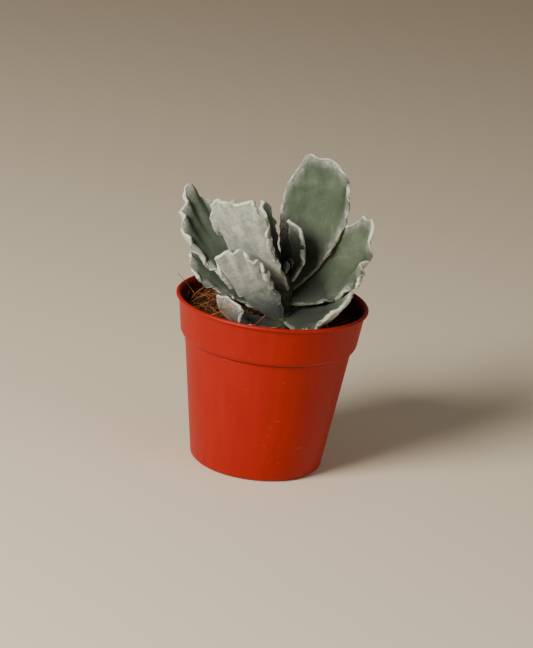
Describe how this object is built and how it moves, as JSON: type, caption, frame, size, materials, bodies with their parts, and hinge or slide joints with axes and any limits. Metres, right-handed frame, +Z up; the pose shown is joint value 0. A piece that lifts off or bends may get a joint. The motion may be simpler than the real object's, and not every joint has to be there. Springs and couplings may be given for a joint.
{
  "type": "potted silver crown succulent",
  "caption": "Young silver crown succulent with wavy-edged mealy leaves, standing in its own thin plastic thumb pot filled with peat.",
  "frame": {"origin": "centre of the pot's flat underside, where it stands", "axes": "+Z up along the pot's axis; -Y towards the front of the plant, the side seen in the picture"},
  "size_m": [0.0563, 0.055, 0.0886],
  "materials": {
    "pot": "satin moulded plastic, orange-red",
    "soil": "dark loose peat with coir fibres",
    "stem": "matt grey-green plant stem",
    "leaf": "mealy grey-green leaf with a paler margin"
  },
  "bodies": {
    "root": {"pot": "pot", "soil": "soil", "stem": "stem", "leaf_back_tall": "leaf", "leaf_front_left_upper": "leaf", "leaf_left_upper": "leaf", "leaf_right_upper": "leaf", "leaf_front_left_lower": "leaf", "leaf_back_right_lower": "leaf", "leaf_left_lower": "leaf", "leaf_right_lower": "leaf", "leaf_front_left_oldest": "leaf", "leaf_back_right_oldest": "leaf", "leaf_heart_right": "leaf", "leaf_heart_left": "leaf", "bud": "leaf"}
  },
  "joints": []
}
